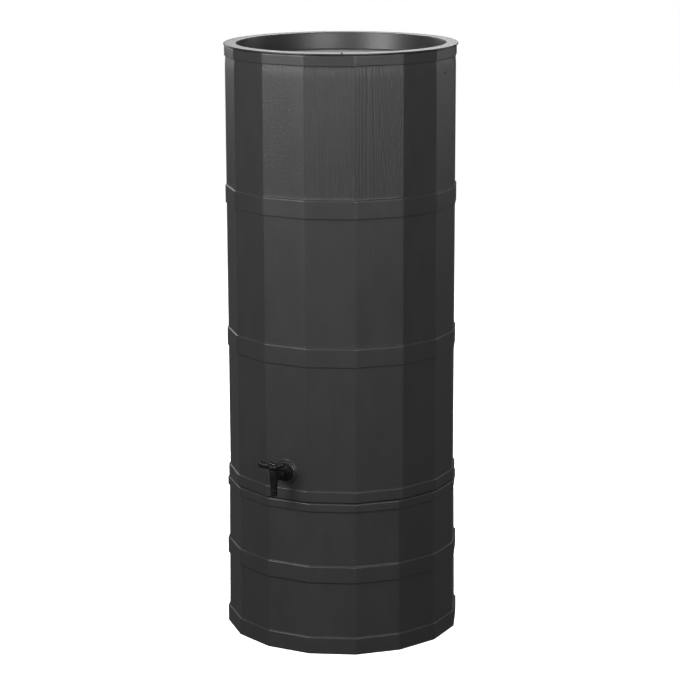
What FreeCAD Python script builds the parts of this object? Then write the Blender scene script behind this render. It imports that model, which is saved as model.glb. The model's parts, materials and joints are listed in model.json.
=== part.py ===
import FreeCAD, Part
import math
import os

import Sketcher

from FreeCAD import Placement, Rotation, Vector

# Rain barrel on its stand: a coopered-look barrel, a recessed lid, a hollow stand and a plug tap.
# The frame's origin is the centre of the stand's foot, +Z is up and the tap faces -Y.
# A bearing is an angle round +Z, counted from -Y towards +X.

SIZES = [
    ("corner_radius", 220.5, "barrel staves, axis to corner"),
    ("wall", 4.0, "barrel wall"),
    ("barrel_foot", 298.5, "underside of the barrel"),
    ("rim_top", 1142.7, "top of the barrel's rim"),
    ("rim_band_low", 1122.0, "lower edge of the band under the rim"),
    ("rim_band_corner", 221.6, "band under the rim, axis to corner"),
    ("rim_round", 3.0, "rounding of the rim's outer edge"),
    ("rim_lip", 4.0, "thickness of the lip that turns in round the mouth"),
    ("mouth_radius", 204.0, "mouth of the barrel"),
    ("hoop_radius", 222.4, "moulded hoops, axis to crest"),
    ("hoop_bevel", 2.0, "bevel on a hoop's edges"),
    ("upper_hoop_low", 841.0, "upper hoop"),
    ("upper_hoop_high", 876.8, "upper hoop"),
    ("upper_hoop_corner", 223.3, "upper hoop before its corners are turned down"),
    ("middle_hoop_low", 561.0, "middle hoop"),
    ("middle_hoop_high", 598.0, "middle hoop"),
    ("middle_hoop_corner", 223.3, "middle hoop before its corners are turned down"),
    ("foot_hoop_high", 322.0, "foot hoop, which starts at the barrel's foot"),
    ("foot_hoop_corner", 223.6, "foot hoop before its corners are turned down"),
    ("foot_recess_radius", 198.0, "recess under the barrel's base"),
    ("foot_recess_depth", 10.0, "recess under the barrel's base"),
    ("dimple_height", 1096.0, "drilling mark for a filler connector"),
    ("dimple_side", 4.0, "drilling mark, to the tap's side of its stave's middle"),
    ("dimple_radius", 3.0, "drilling mark"),
    ("dimple_depth", 2.0, "drilling mark"),
    ("stand_top", 298.2, "deck of the stand"),
    ("stand_top_radius", 222.7, "stand at its deck, axis to corner"),
    ("stand_foot_radius", 225.6, "stand at the floor, axis to corner"),
    ("stand_wall", 5.0, "stand wall"),
    ("deck_thickness", 7.0, "deck of the stand"),
    ("band_rise", 3.0, "bands of the stand, above its walls"),
    ("band_bevel", 1.4, "bevel on the upper edge of a stand band"),
    ("top_band_low", 282.0, "top band of the stand"),
    ("middle_band_low", 142.0, "middle band of the stand"),
    ("middle_band_high", 174.5, "middle band of the stand"),
    ("foot_band_high", 33.5, "foot band of the stand"),
    ("spigot_radius", 190.0, "raised round of the deck, which centres the barrel"),
    ("spigot_height", 6.0, "raised round of the deck"),
    ("lid_radius", 223.0, "lid flange"),
    ("lid_under", 1143.0, "underside of the lid flange"),
    ("lid_thickness", 3.0, "lid wall"),
    ("tray_radius", 198.7, "recess of the lid, at its top"),
    ("tray_floor_radius", 196.5, "recess of the lid, at its floor"),
    ("tray_depth", 33.5, "recess of the lid"),
    ("pip_bearing", 30.0, "alignment pip on the lid flange"),
    ("pip_radius", 220.5, "alignment pip, axis to its middle"),
    ("pip_width", 4.0, "alignment pip"),
    ("pip_height", 1.8, "alignment pip"),
    ("tap_height", 353.0, "axis of the tap's neck above the floor"),
    ("tap_reach", 45.0, "stave face to the axis of the tap's column"),
    ("boss_radius", 24.0, "moulded boss round the tap hole"),
    ("boss_ring_radius", 20.5, "inner ring of the boss"),
    ("boss_rise", 2.0, "boss above the stave"),
    ("ring_rise", 1.0, "inner ring above the boss"),
    ("thread_radius", 10.0, "threaded tail of the tap"),
    ("thread_gap", 0.05, "radial play of the washers and the nut on the tail"),
    ("tail_length", 18.0, "tail beyond the inside of the wall"),
    ("washer_radius", 16.5, "outer washer"),
    ("washer_thickness", 2.0, "outer washer and inner seal"),
    ("flange_radius", 16.2, "flange of the tap body"),
    ("flange_thickness", 3.5, "flange of the tap body"),
    ("collar_radius", 12.5, "collar on the flange's face"),
    ("collar_thickness", 1.5, "collar on the flange's face"),
    ("neck_radius", 8.3, "neck of the tap"),
    ("shoulder_radius", 10.3, "shoulder on the neck"),
    ("shoulder_start", 19.0, "column axis to the shoulder"),
    ("shoulder_thickness", 3.0, "shoulder on the neck"),
    ("column_top", 14.0, "top of the column above the neck's axis"),
    ("column_radius", 8.2, "column at its top"),
    ("column_low_radius", 6.6, "column above its bead"),
    ("bead_height", 24.0, "neck's axis down to the bead"),
    ("bead_radius", 7.1, "bead above the hose tail"),
    ("bead_thickness", 1.8, "bead above the hose tail"),
    ("outlet_depth", 36.0, "neck's axis down to the end of the hose tail"),
    ("hose_tail_radius", 6.25, "plain hose tail"),
    ("water_radius", 4.2, "waterway"),
    ("plug_radius", 5.85, "valve plug"),
    ("plug_gap", 0.05, "radial running clearance of the plug and of the stem"),
    ("plug_low", 9.0, "neck's axis down to the plug's foot"),
    ("plug_high", 7.5, "neck's axis up to the plug's shoulder"),
    ("port_radius", 3.0, "port through the plug"),
    ("stem_radius", 3.5, "stem of the plug"),
    ("stem_top", 23.0, "stem's end above the neck's axis"),
    ("groove_radius", 4.2, "floor of the plug's ring grooves"),
    ("groove_width", 2.0, "plug's ring grooves"),
    ("upper_groove", 5.4, "middle of the upper groove above the neck's axis"),
    ("lower_groove", 6.6, "middle of the lower groove below the neck's axis"),
    ("ring_section", 0.8, "section radius of the plug's rings"),
    ("stem_ring_section", 0.7, "section radius of the stem's ring"),
    ("stem_ring_height", 8.7, "stem's ring above the neck's axis"),
    ("gland_radius", 5.9, "threaded tail of the gland nut"),
    ("gland_across", 12.6, "gland nut across its flats"),
    ("gland_thickness", 3.2, "head of the gland nut"),
    ("hub_low", 14.6, "underside of the handle's hub above the neck's axis"),
    ("hub_low_radius", 8.9, "handle hub at its underside"),
    ("hub_radius", 12.4, "handle hub at its widest"),
    ("hub_wide", 20.5, "height where the hub is widest"),
    ("hub_top", 25.5, "top of the handle hub"),
    ("skirt_radius", 7.9, "hollow of the hub, over the gland nut"),
    ("skirt_top", 18.2, "hollow of the hub"),
    ("lever_width", 9.0, "lever of the handle"),
    ("lever_long", 27.3, "long arm, axis to the middle of its knob"),
    ("lever_short", 19.5, "short arm, axis to the middle of its knob"),
    ("long_knob", 6.2, "radius of the long arm's knob"),
    ("short_knob", 4.2, "radius of the short arm's knob"),
    ("screw_radius", 1.5, "handle screw, shank"),
    ("screw_length", 10.0, "handle screw, shank"),
    ("screw_head_radius", 3.3, "handle screw, head"),
    ("screw_head_height", 2.2, "handle screw, head"),
    ("nut_across", 30.0, "lock nut across its flats"),
    ("nut_thickness", 8.0, "lock nut"),
    ("seal_radius", 15.0, "inner seal"),
]

# The staves are not equally wide. Their angles start at the tap's stave and go round by bearing,
# and those at the back share what is left. The stand's sides are all equal.
BACK_STAVES = 9
STAVE_ANGLES = [23.0, 24.5, 25.0, 22.0, 22.5, 18.5]
LAST_STAVE = 23.5
BACK_ANGLE = (360.0 - sum(STAVE_ANGLES) - LAST_STAVE) / BACK_STAVES
STAVE_ANGLES += [BACK_ANGLE] * BACK_STAVES + [LAST_STAVE]
HALF_TAP_STAVE = STAVE_ANGLES[0] / 2
STAVE_CORNERS = [sum(STAVE_ANGLES[:i]) - HALF_TAP_STAVE for i in range(len(STAVE_ANGLES))]
STAND_SIDES = 16
STAND_PHASE = 13.2
STAND_CORNERS = [STAND_PHASE + i * 360.0 / STAND_SIDES for i in range(STAND_SIDES)]
MARKED_STAVE = 4
KNOB_STEP = 30

doc = FreeCAD.newDocument("rain_barrel")
sheet = doc.addObject("Spreadsheet::Sheet", "Sizes")
for row, (alias, value, note) in enumerate(SIZES, start=1):
    sheet.set(f"A{row}", alias)
    sheet.set(f"B{row}", str(value))
    sheet.set(f"C{row}", note)
    sheet.setAlias(f"B{row}", alias)
doc.recompute()
SIZE = {alias: value for alias, value, note in SIZES}

STAVE_FACE = f"(Sizes.corner_radius * cos({HALF_TAP_STAVE} deg))"
TAP_Y = f"-({STAVE_FACE} + Sizes.tap_reach)"
parts = []


# ---------------------------------------------------------------- helpers

def new_body(label):
    """A body whose label is also its node and file name."""
    body = doc.addObject("PartDesign::Body", label)
    body.Label = label
    parts.append(body)
    return body


def at_tap(body):
    """Place a body's origin where the tap's neck axis meets its column axis."""
    body.setExpression("Placement.Base.y", TAP_Y)
    body.setExpression("Placement.Base.z", "Sizes.tap_height")
    return body


def new_sketch(body, name, role="XY_Plane", offset="0"):
    """A sketch on one of the body's own planes, offset along the plane's normal."""
    sketch = body.newObject("Sketcher::SketchObject", name)
    support = next(f for f in body.Origin.OriginFeatures if f.Role == role)
    sketch.AttachmentSupport = (support, [""])
    sketch.MapMode = "FlatFace"
    sketch.setExpression("AttachmentOffset.Base.z", offset)
    return sketch


def number(expression):
    """The value of a sheet expression."""
    return float(doc.getObject("Sizes").evalExpression(str(expression).replace("Sizes.", "")))


def bind(sketch, kind, geometry, point, expression):
    """Tie one coordinate of a point to the sheet."""
    value = number(expression)
    if abs(value) < 1e-9:
        axis = -2 if kind == "DistanceX" else -1
        sketch.addConstraint(Sketcher.Constraint("PointOnObject", geometry, point, axis))
        return
    index = sketch.addConstraint(Sketcher.Constraint(kind, -1, 1, geometry, point, value))
    sketch.setExpression(f"Constraints[{index}]", str(expression))


def outline(sketch, corners):
    """A closed straight-sided outline whose corners are sheet expressions."""
    places = [Vector(number(x), number(y), 0) for x, y in corners]
    count = len(places)
    for i in range(count):
        sketch.addGeometry(Part.LineSegment(places[i], places[(i + 1) % count]), False)
    for i in range(count):
        sketch.addConstraint(Sketcher.Constraint("Coincident", i, 2, (i + 1) % count, 1))
    for i, (x, y) in enumerate(corners):
        bind(sketch, "DistanceX", i, 1, x)
        bind(sketch, "DistanceY", i, 1, y)
    return sketch


def ring(sketch, radii, centre=("0", "0")):
    """Circles about one centre: one radius makes a disc and two make a washer."""
    middle = Vector(number(centre[0]), number(centre[1]), 0)
    for radius in radii:
        index = sketch.addGeometry(Part.Circle(middle, Vector(0, 0, 1), number(radius)), False)
        size = sketch.addConstraint(Sketcher.Constraint("Radius", index, number(radius)))
        sketch.setExpression(f"Constraints[{size}]", radius)
        bind(sketch, "DistanceX", index, 3, centre[0])
        bind(sketch, "DistanceY", index, 3, centre[1])
    return sketch


def around(radius, bearings):
    """Corner expressions of a polygon from its bearings."""
    return [(f"{radius} * sin({b} deg)", f"-{radius} * cos({b} deg)") for b in bearings]


def pad(body, sketch, length, midplane=False):
    feature = body.newObject("PartDesign::Pad", f"{sketch.Name}_pad")
    feature.Profile = sketch
    feature.setExpression("Length", length)
    feature.Midplane = midplane
    doc.recompute()
    return feature


def pocket(body, sketch, length, up=False):
    """Cut a sketch's outline below its plane, or above it when up is set."""
    before = body.Shape.Volume
    feature = body.newObject("PartDesign::Pocket", f"{sketch.Name}_cut")
    feature.Profile = sketch
    feature.setExpression("Length", length)
    feature.Reversed = up
    doc.recompute()
    if body.Shape.Volume > before - 1e-3:
        raise RuntimeError(f"{feature.Name} cuts nothing")
    return feature


def revolve(body, sketch, kind="Revolution"):
    """Turn a sketch about its own vertical axis."""
    before = body.Shape.Volume if kind == "Groove" else 0.0
    feature = body.newObject(f"PartDesign::{kind}", f"{sketch.Name}_turn")
    feature.Profile = sketch
    feature.ReferenceAxis = (sketch, ["V_Axis"])
    feature.Angle = 360.0
    doc.recompute()
    if kind == "Groove" and body.Shape.Volume > before - 1e-3:
        raise RuntimeError(f"{feature.Name} cuts nothing")
    return feature


def dress(body, kind, size, test):
    """Fillet or Chamfer on the tip's edges that pass the test."""
    base = body.Tip
    names = [f"Edge{i}" for i, edge in enumerate(base.Shape.Edges, start=1) if test(edge)]
    if not names:
        raise RuntimeError(f"{body.Label}: no edge to dress")
    feature = body.newObject(f"PartDesign::{kind}", f"{body.Name}_{kind}")
    feature.Base = (base, names)
    feature.setExpression("Radius" if kind == "Fillet" else "Size", size)
    doc.recompute()
    if feature.Shape.isNull():
        raise RuntimeError(f"{feature.Name} failed")
    return feature


def crest_edge(height, inside, outside=1000.0):
    """Edges that lie flat at a height, with their ends between two radii."""
    def test(edge):
        box = edge.BoundBox
        flat = abs(box.ZMin - height) < 0.01 and abs(box.ZMax - height) < 0.01
        return flat and all(inside < math.hypot(end.X, end.Y) < outside for end in edge.Vertexes)
    return test


# ---------------------------------------------------------------- stand

def stand_radius(height):
    """Wall radius of the stand at a height, as an expression."""
    slope = "(Sizes.stand_top_radius - Sizes.stand_foot_radius) / Sizes.stand_top"
    return f"(Sizes.stand_foot_radius + {slope} * {height})"


def build_stand():
    body = new_body("stand")
    skin = []
    for name, height in (("foot_outline", "0"), ("deck_outline", "Sizes.stand_top")):
        sketch = new_sketch(body, name, offset=height)
        skin.append(outline(sketch, around(stand_radius(height), STAND_CORNERS)))
    shell = body.newObject("PartDesign::AdditiveLoft", "stand_skin")
    shell.Profile = skin[0]
    shell.Sections = [skin[1]]
    shell.Ruled = True
    doc.recompute()

    bands = [
        ("foot_band", "0", "Sizes.foot_band_high"),
        ("middle_band", "Sizes.middle_band_low", "Sizes.middle_band_high"),
        ("top_band", "Sizes.top_band_low", "Sizes.stand_top"),
    ]
    for name, low, high in bands:
        sketch = new_sketch(body, name, offset=low)
        outline(sketch, around(f"({stand_radius(low)} + Sizes.band_rise)", STAND_CORNERS))
        pad(body, sketch, f"{high} - {low}")
        crest = crest_edge(number(high), number(stand_radius(high)) + 1)
        dress(body, "Chamfer", "Sizes.band_bevel", crest)

    ceiling = "(Sizes.stand_top - Sizes.deck_thickness)"
    hollow = []
    for name, height in (("hollow_foot", "0"), ("hollow_top", ceiling)):
        sketch = new_sketch(body, name, offset=height)
        inner = f"({stand_radius(height)} - Sizes.stand_wall)"
        hollow.append(outline(sketch, around(inner, STAND_CORNERS)))
    cut = body.newObject("PartDesign::SubtractiveLoft", "stand_hollow")
    cut.Profile = hollow[0]
    cut.Sections = [hollow[1]]
    cut.Ruled = True
    doc.recompute()

    spigot = ring(new_sketch(body, "spigot", offset="Sizes.stand_top - 1"), ["Sizes.spigot_radius"])
    pad(body, spigot, "Sizes.spigot_height + 1")
    top = SIZE["stand_top"] + SIZE["spigot_height"]
    dress(body, "Chamfer", "Sizes.hoop_bevel", crest_edge(top, SIZE["spigot_radius"] - 1))


# ---------------------------------------------------------------- barrel

def build_barrel():
    body = new_body("barrel_shell")
    staves = new_sketch(body, "staves", offset="Sizes.barrel_foot")
    outline(staves, around("Sizes.corner_radius", STAVE_CORNERS))
    pad(body, staves, "Sizes.rim_top - Sizes.rim_round - Sizes.barrel_foot")

    rim = new_sketch(body, "rim_band", offset="Sizes.rim_band_low")
    outline(rim, around("Sizes.rim_band_corner", STAVE_CORNERS))
    pad(body, rim, "Sizes.rim_top - Sizes.rim_band_low")
    rim_edge = crest_edge(SIZE["rim_top"], SIZE["rim_band_corner"] - 1)
    dress(body, "Fillet", "Sizes.rim_round", rim_edge)

    faceted = [
        ("upper_hoop", "Sizes.upper_hoop_low"),
        ("middle_hoop", "Sizes.middle_hoop_low"),
        ("foot_hoop", "Sizes.barrel_foot"),
    ]
    for name, low in faceted:
        high = f"Sizes.{name}_high"
        sketch = new_sketch(body, name, offset=low)
        outline(sketch, around(f"Sizes.{name}_corner", STAVE_CORNERS))
        pad(body, sketch, f"{high} - {low}")
        crest = crest_edge(number(high), SIZE[f"{name}_corner"] - 1)
        dress(body, "Chamfer", "Sizes.hoop_bevel", crest)
        trim = new_sketch(body, f"{name}_trim", "XZ_Plane")
        outline(trim, [
            ("Sizes.hoop_radius", f"{low} - 1"),
            ("Sizes.hoop_radius + 8", f"{low} - 1"),
            ("Sizes.hoop_radius + 8", f"{high} + 1"),
            ("Sizes.hoop_radius", f"{high} + 1"),
        ])
        revolve(body, trim, "Groove")

    cavity = new_sketch(body, "cavity", offset="Sizes.rim_top - Sizes.rim_lip")
    outline(cavity, around("(Sizes.corner_radius - Sizes.wall)", STAVE_CORNERS))
    floor = "(Sizes.barrel_foot + Sizes.foot_recess_depth + Sizes.wall)"
    pocket(body, cavity, f"Sizes.rim_top - Sizes.rim_lip - {floor}")
    mouth = ring(new_sketch(body, "mouth", offset="Sizes.rim_top"), ["Sizes.mouth_radius"])
    pocket(body, mouth, "Sizes.rim_lip + 1")
    recess = ring(new_sketch(body, "foot_recess", offset="Sizes.barrel_foot"), ["Sizes.foot_recess_radius"])
    pocket(body, recess, "Sizes.foot_recess_depth", up=True)

    tap_centre = ("0", "Sizes.tap_height")
    boss = new_sketch(body, "tap_boss", "XZ_Plane", f"{STAVE_FACE} - 1")
    pad(body, ring(boss, ["Sizes.boss_radius"], tap_centre), "Sizes.boss_rise + 1")
    dress(body, "Chamfer", "Sizes.boss_rise * 0.4", boss_edge)
    bead = new_sketch(body, "boss_ring", "XZ_Plane", f"{STAVE_FACE} + Sizes.boss_rise - 0.5")
    ring(bead, ["Sizes.boss_ring_radius", "Sizes.washer_radius + 1.5"], tap_centre)
    pad(body, bead, "Sizes.ring_rise + 0.5")
    hole = new_sketch(body, "tap_hole", "XZ_Plane", f"{STAVE_FACE} + Sizes.boss_rise")
    ring(hole, ["Sizes.thread_radius + 0.3"], tap_centre)
    pocket(body, hole, "Sizes.boss_rise + Sizes.wall + 2")

    mark = body.newObject("PartDesign::SubtractiveCone", "drilling_mark")
    mark.setExpression("Radius1", "Sizes.dimple_radius")
    mark.setExpression("Radius2", "Sizes.dimple_radius * 0.3")
    mark.setExpression("Height", "Sizes.dimple_depth")
    half = math.radians(STAVE_ANGLES[MARKED_STAVE] / 2)
    middle = math.radians(STAVE_CORNERS[MARKED_STAVE]) + half
    outward = Vector(math.sin(middle), -math.cos(middle), 0)
    across = Vector(-math.cos(middle), -math.sin(middle), 0)
    place = outward * (SIZE["corner_radius"] * math.cos(half)) + across * SIZE["dimple_side"]
    inward = Rotation(Vector(0, 0, 1), outward * -1)
    mark.Placement = Placement(place + Vector(0, 0, SIZE["dimple_height"]), inward)
    doc.recompute()


def boss_edge(edge):
    """The round outer edge of the tap boss's face."""
    round_edge = isinstance(edge.Curve, Part.Circle) and abs(edge.Curve.Radius - SIZE["boss_radius"]) < 0.01
    face = number(f"{STAVE_FACE} + Sizes.boss_rise")
    return round_edge and abs(edge.BoundBox.YMin + face) < 0.01 and edge.BoundBox.YLength < 0.01


# ---------------------------------------------------------------- lid

def build_lid():
    body = new_body("lid")
    top = "(Sizes.lid_under + Sizes.lid_thickness)"
    floor = f"({top} - Sizes.tray_depth)"
    section = new_sketch(body, "lid_section", "XZ_Plane")
    outline(section, [
        ("0", floor),
        ("Sizes.tray_floor_radius", floor),
        ("Sizes.tray_radius", top),
        ("Sizes.lid_radius", top),
        ("Sizes.lid_radius", "Sizes.lid_under"),
        ("Sizes.tray_radius + Sizes.lid_thickness", "Sizes.lid_under"),
        ("Sizes.tray_floor_radius + Sizes.lid_thickness", f"{floor} - Sizes.lid_thickness"),
        ("0", f"{floor} - Sizes.lid_thickness"),
    ])
    revolve(body, section)
    height = number(top)
    dress(body, "Fillet", "Sizes.lid_thickness * 0.4", crest_edge(height, SIZE["lid_radius"] - 1))
    tray_mouth = crest_edge(height, SIZE["tray_radius"] - 1, SIZE["tray_radius"] + 1)
    dress(body, "Fillet", "Sizes.lid_thickness * 0.6", tray_mouth)
    dress(body, "Fillet", "Sizes.lid_thickness", crest_edge(number(floor), SIZE["tray_floor_radius"] - 1))

    pip = new_sketch(body, "alignment_pip", offset=f"{top} - 0.5")
    along = "Sizes.pip_radius * sin(Sizes.pip_bearing * 1 deg)"
    across = "-Sizes.pip_radius * cos(Sizes.pip_bearing * 1 deg)"
    pad(body, ring(pip, ["Sizes.pip_width / 2"], (along, across)), "Sizes.pip_height + 0.5")
    pip_top = height + SIZE["pip_height"]
    dress(body, "Fillet", "Sizes.pip_height * 0.6", crest_edge(pip_top, 0))


# ---------------------------------------------------------------- tap body and its seals

def build_tap_body():
    body = at_tap(new_body("tap_body"))
    boss_face = "(Sizes.tap_reach - Sizes.boss_rise)"
    flange_back = f"({boss_face} - Sizes.washer_thickness)"
    flange_face = f"({flange_back} - Sizes.flange_thickness)"
    collar_face = f"({flange_face} - Sizes.collar_thickness)"
    tail_end = "(Sizes.tap_reach + Sizes.wall + Sizes.tail_length)"
    shoulder_end = "Sizes.shoulder_start + Sizes.shoulder_thickness"
    neck = new_sketch(body, "neck_section")
    outline(neck, [
        ("0", "0"),
        ("Sizes.neck_radius", "0"),
        ("Sizes.neck_radius", "Sizes.shoulder_start"),
        ("Sizes.shoulder_radius", "Sizes.shoulder_start"),
        ("Sizes.shoulder_radius", shoulder_end),
        ("Sizes.neck_radius", shoulder_end),
        ("Sizes.neck_radius", collar_face),
        ("Sizes.collar_radius", collar_face),
        ("Sizes.collar_radius", flange_face),
        ("Sizes.flange_radius", flange_face),
        ("Sizes.flange_radius", flange_back),
        ("Sizes.thread_radius", flange_back),
        ("Sizes.thread_radius", tail_end),
        ("0", tail_end),
    ])
    revolve(body, neck)

    column = new_sketch(body, "column_section", "XZ_Plane")
    bead_low = "-(Sizes.bead_height + Sizes.bead_thickness)"
    outline(column, [
        ("0", "Sizes.column_top"),
        ("Sizes.column_radius - 0.8", "Sizes.column_top"),
        ("Sizes.column_radius", "Sizes.column_top - 0.8"),
        ("Sizes.column_low_radius", "-Sizes.bead_height"),
        ("Sizes.bead_radius", "-Sizes.bead_height"),
        ("Sizes.bead_radius", bead_low),
        ("Sizes.hose_tail_radius", bead_low),
        ("Sizes.hose_tail_radius", "-Sizes.outlet_depth"),
        ("0", "-Sizes.outlet_depth"),
    ])
    revolve(body, column)

    chamber = new_sketch(body, "plug_chamber", offset="Sizes.column_top")
    ring(chamber, ["Sizes.plug_radius + Sizes.plug_gap"])
    pocket(body, chamber, "Sizes.column_top + Sizes.plug_low + 0.2")
    outlet = ring(new_sketch(body, "outlet", offset="-Sizes.outlet_depth"), ["Sizes.water_radius"])
    pocket(body, outlet, "Sizes.outlet_depth - Sizes.plug_low", up=True)
    inlet = new_sketch(body, "inlet", "XZ_Plane", f"-({tail_end})")
    ring(inlet, ["Sizes.water_radius"])
    pocket(body, inlet, f"{tail_end} - 2", up=True)


def washer(label, outer, inner, start, thickness):
    """A flat ring on the tap's neck axis, from a distance along it."""
    body = at_tap(new_body(label))
    sketch = new_sketch(body, f"{label}_outline", "XZ_Plane", f"-({start} + {thickness})")
    ring(sketch, [outer, inner])
    pad(body, sketch, thickness)
    return body


def hexagon(across):
    """Corner expressions of a hexagon from its size across the flats."""
    corner = f"({across} / 2 / cos(30 deg))"
    return around(corner, [60 * i for i in range(6)])


def build_tap_seals():
    bore = "Sizes.thread_radius + Sizes.thread_gap"
    start = "(Sizes.tap_reach - Sizes.boss_rise - Sizes.washer_thickness)"
    washer("tap_outer_washer", "Sizes.washer_radius", bore, start, "Sizes.washer_thickness")
    inside = "(Sizes.tap_reach + Sizes.wall)"
    washer("tap_inner_seal", "Sizes.seal_radius", bore, inside, "Sizes.washer_thickness")

    nut = at_tap(new_body("tap_lock_nut"))
    nut_start = f"({inside} + Sizes.washer_thickness)"
    sketch = new_sketch(nut, "lock_nut_outline", "XZ_Plane", f"-({nut_start} + Sizes.nut_thickness)")
    outline(sketch, hexagon("Sizes.nut_across"))
    pad(nut, sketch, "Sizes.nut_thickness")
    hole = new_sketch(nut, "lock_nut_hole", "XZ_Plane", f"-{nut_start}")
    ring(hole, [bore])
    pocket(nut, hole, "Sizes.nut_thickness + 1")


# ---------------------------------------------------------------- valve plug, rings and gland

def build_plug():
    body = at_tap(new_body("tap_plug"))
    section = new_sketch(body, "plug_section", "XZ_Plane")
    half = "Sizes.groove_width / 2"
    outline(section, [
        ("0", "-Sizes.plug_low"),
        ("Sizes.plug_radius", "-Sizes.plug_low"),
        ("Sizes.plug_radius", f"-Sizes.lower_groove - {half}"),
        ("Sizes.groove_radius", f"-Sizes.lower_groove - {half}"),
        ("Sizes.groove_radius", f"-Sizes.lower_groove + {half}"),
        ("Sizes.plug_radius", f"-Sizes.lower_groove + {half}"),
        ("Sizes.plug_radius", f"Sizes.upper_groove - {half}"),
        ("Sizes.groove_radius", f"Sizes.upper_groove - {half}"),
        ("Sizes.groove_radius", f"Sizes.upper_groove + {half}"),
        ("Sizes.plug_radius", f"Sizes.upper_groove + {half}"),
        ("Sizes.plug_radius", "Sizes.plug_high"),
        ("Sizes.stem_radius", "Sizes.plug_high"),
        ("Sizes.stem_radius", "Sizes.stem_top"),
        ("0", "Sizes.stem_top"),
    ])
    revolve(body, section)
    foot = ring(new_sketch(body, "plug_outlet", offset="-Sizes.plug_low"), ["Sizes.port_radius"])
    pocket(body, foot, "Sizes.plug_low", up=True)
    side = new_sketch(body, "plug_port", "YZ_Plane", "Sizes.plug_radius + 1")
    pocket(body, ring(side, ["Sizes.port_radius"]), "Sizes.plug_radius + 1")
    thread = ring(new_sketch(body, "screw_hole", offset="Sizes.stem_top"), ["Sizes.screw_radius"])
    pocket(body, thread, "Sizes.screw_length + 0.5")


def seal_ring(label, radius, section, height):
    """A rubber ring about the column's axis."""
    body = at_tap(new_body(label))
    sketch = new_sketch(body, f"{label}_section", "XZ_Plane")
    ring(sketch, [section], (radius, height))
    revolve(body, sketch)


def build_rings():
    around_plug = "(Sizes.groove_radius + Sizes.ring_section)"
    seal_ring("plug_oring_upper", around_plug, "Sizes.ring_section", "Sizes.upper_groove")
    seal_ring("plug_oring_lower", around_plug, "Sizes.ring_section", "-Sizes.lower_groove")
    around_stem = "(Sizes.stem_radius + Sizes.stem_ring_section)"
    seal_ring("stem_oring", around_stem, "Sizes.stem_ring_section", "Sizes.stem_ring_height")


def build_gland():
    body = at_tap(new_body("tap_gland_nut"))
    head = new_sketch(body, "gland_head", offset="Sizes.column_top")
    outline(head, hexagon("Sizes.gland_across"))
    pad(body, head, "Sizes.gland_thickness")
    tail_low = "(Sizes.plug_high + 0.3)"
    tail = ring(new_sketch(body, "gland_tail", offset=tail_low), ["Sizes.gland_radius"])
    pad(body, tail, f"Sizes.column_top - {tail_low} + 1")
    bore = ring(new_sketch(body, "gland_bore", offset=tail_low), ["Sizes.stem_radius + Sizes.plug_gap"])
    pocket(body, bore, "Sizes.column_top", up=True)
    seat = new_sketch(body, "stem_ring_seat", offset=tail_low)
    ring(seat, ["Sizes.stem_radius + 2 * Sizes.stem_ring_section + 0.15"])
    pocket(body, seat, "2 * Sizes.stem_ring_section + 0.4", up=True)


# ---------------------------------------------------------------- handle

def knob(body, name, along, height, radius):
    """A ball with flats, turned about an upright axis on the lever."""
    section = new_sketch(body, name, "XZ_Plane")
    section.setExpression("AttachmentOffset.Base.x", along)
    section.setExpression("AttachmentOffset.Base.y", height)
    turns = range(-90, 91, KNOB_STEP)
    outline(section, [(f"{radius} * cos({a} deg)", f"{radius} * sin({a} deg)") for a in turns])
    revolve(body, section)


def build_handle():
    body = at_tap(new_body("tap_handle"))
    hub = new_sketch(body, "hub_section", "XZ_Plane")
    outline(hub, [
        ("0", "Sizes.hub_low"),
        ("Sizes.hub_low_radius", "Sizes.hub_low"),
        ("Sizes.hub_radius", "Sizes.hub_wide"),
        ("Sizes.hub_radius - 1.4", "Sizes.hub_top"),
        ("0", "Sizes.hub_top"),
    ])
    revolve(body, hub)

    lever = new_sketch(body, "lever_side", "XZ_Plane")
    outline(lever, [
        ("-Sizes.lever_long", "Sizes.hub_wide - 2.0"),
        ("-Sizes.hub_radius + 1", "Sizes.hub_wide - 4.0"),
        ("Sizes.hub_radius - 1", "Sizes.hub_wide - 3.0"),
        ("Sizes.lever_short + 1.5", "Sizes.hub_top - 1.2"),
        ("Sizes.lever_short - 1.5", "Sizes.hub_top + 3.0"),
        ("Sizes.hub_radius", "Sizes.hub_top + 0.8"),
        ("1.5", "Sizes.hub_top + 0.8"),
        ("-3.0", "Sizes.hub_top + 4.4"),
        ("-7.5", "Sizes.hub_top + 4.6"),
        ("-13.0", "Sizes.hub_top + 2.2"),
        ("-19.0", "Sizes.hub_top + 0.2"),
        ("-Sizes.lever_long", "Sizes.hub_top + 0.6"),
    ])
    pad(body, lever, "Sizes.lever_width", midplane=True)

    knob(body, "long_arm_knob", "-Sizes.lever_long", "Sizes.hub_wide + 2.3", "Sizes.long_knob")
    knob(body, "short_arm_knob", "Sizes.lever_short", "Sizes.hub_top + 1.0", "Sizes.short_knob")

    skirt = ring(new_sketch(body, "skirt", offset="Sizes.hub_low"), ["Sizes.skirt_radius"])
    pocket(body, skirt, "Sizes.skirt_top - Sizes.hub_low", up=True)
    socket = ring(new_sketch(body, "stem_socket", offset="Sizes.hub_low"), ["Sizes.stem_radius"])
    pocket(body, socket, "Sizes.stem_top - Sizes.hub_low", up=True)
    seat_height = "(Sizes.hub_top - 1)"
    seat = ring(new_sketch(body, "screw_seat", offset=seat_height), ["Sizes.screw_head_radius + 0.2"])
    pocket(body, seat, "8", up=True)
    clearance = ring(new_sketch(body, "screw_clearance", offset=seat_height), ["Sizes.screw_radius + 0.1"])
    pocket(body, clearance, "5")


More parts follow.
